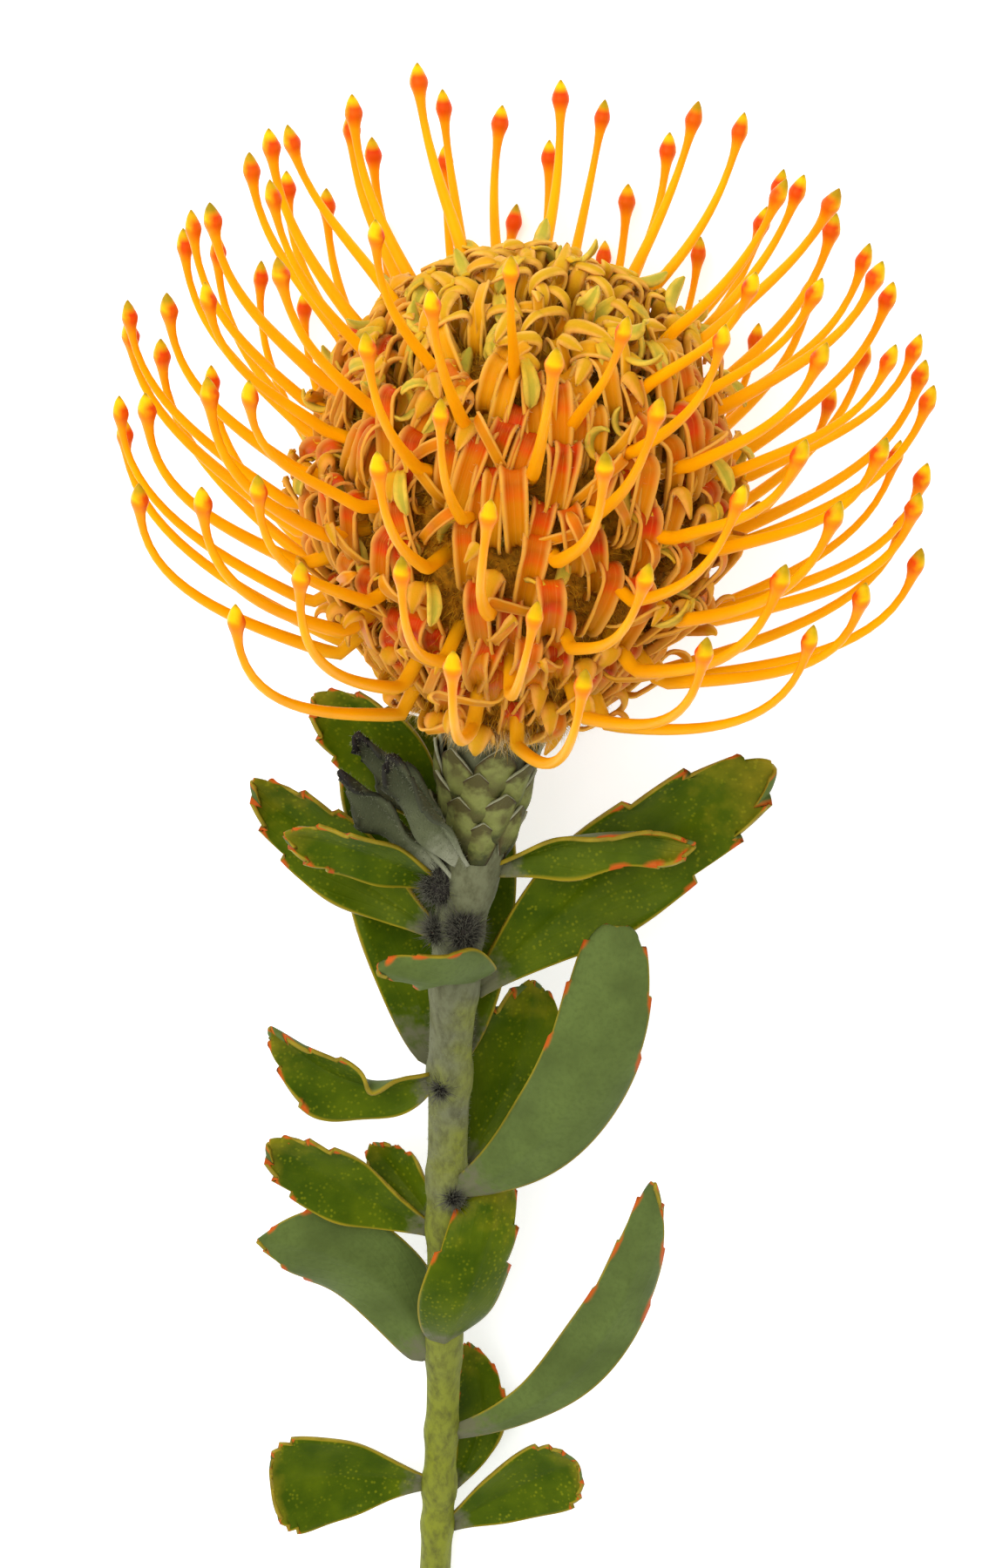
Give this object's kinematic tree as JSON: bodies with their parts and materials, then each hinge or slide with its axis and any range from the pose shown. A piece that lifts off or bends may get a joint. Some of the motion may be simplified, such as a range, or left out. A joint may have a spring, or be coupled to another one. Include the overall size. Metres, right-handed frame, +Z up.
{
  "type": "pincushion protea flower",
  "caption": "Cut flower stem lying on its side: a domed head of curled florets with long curved styles, a scaly involucre and toothed obovate leaves up the stem.",
  "frame": {"origin": "centre of the footprint, on the surface that the flower lies on", "axes": "+Y along the stem towards the flower head, +X to the right seen from above with the head away, +Z up"},
  "size_m": [0.1103, 0.2494, 0.105],
  "materials": {
    "petal": "waxy orange-yellow styles over curled, softly hairy florets",
    "stem": "matt grey-green skin with fine hair",
    "leaf": "satin green, yellow margin and orange tooth tips",
    "bract": "grey-green with soft grey hair"
  },
  "bodies": {
    "root": {"flower_head": "petal", "stem_with_bracts": "stem", "leaf_01": "leaf", "leaf_02": "leaf", "leaf_03": "leaf", "leaf_04": "leaf", "leaf_05": "leaf", "leaf_06": "leaf", "leaf_07": "leaf", "leaf_08": "leaf", "leaf_09": "leaf", "leaf_10": "leaf", "leaf_11": "leaf", "leaf_12": "leaf", "leaf_13": "leaf", "leaf_14": "leaf", "leaf_15": "leaf", "leaf_16": "leaf", "leaf_17": "leaf", "leaf_18": "leaf", "bract_leaf_01": "bract", "bract_leaf_02": "bract", "bract_leaf_03": "bract"}
  },
  "joints": []
}
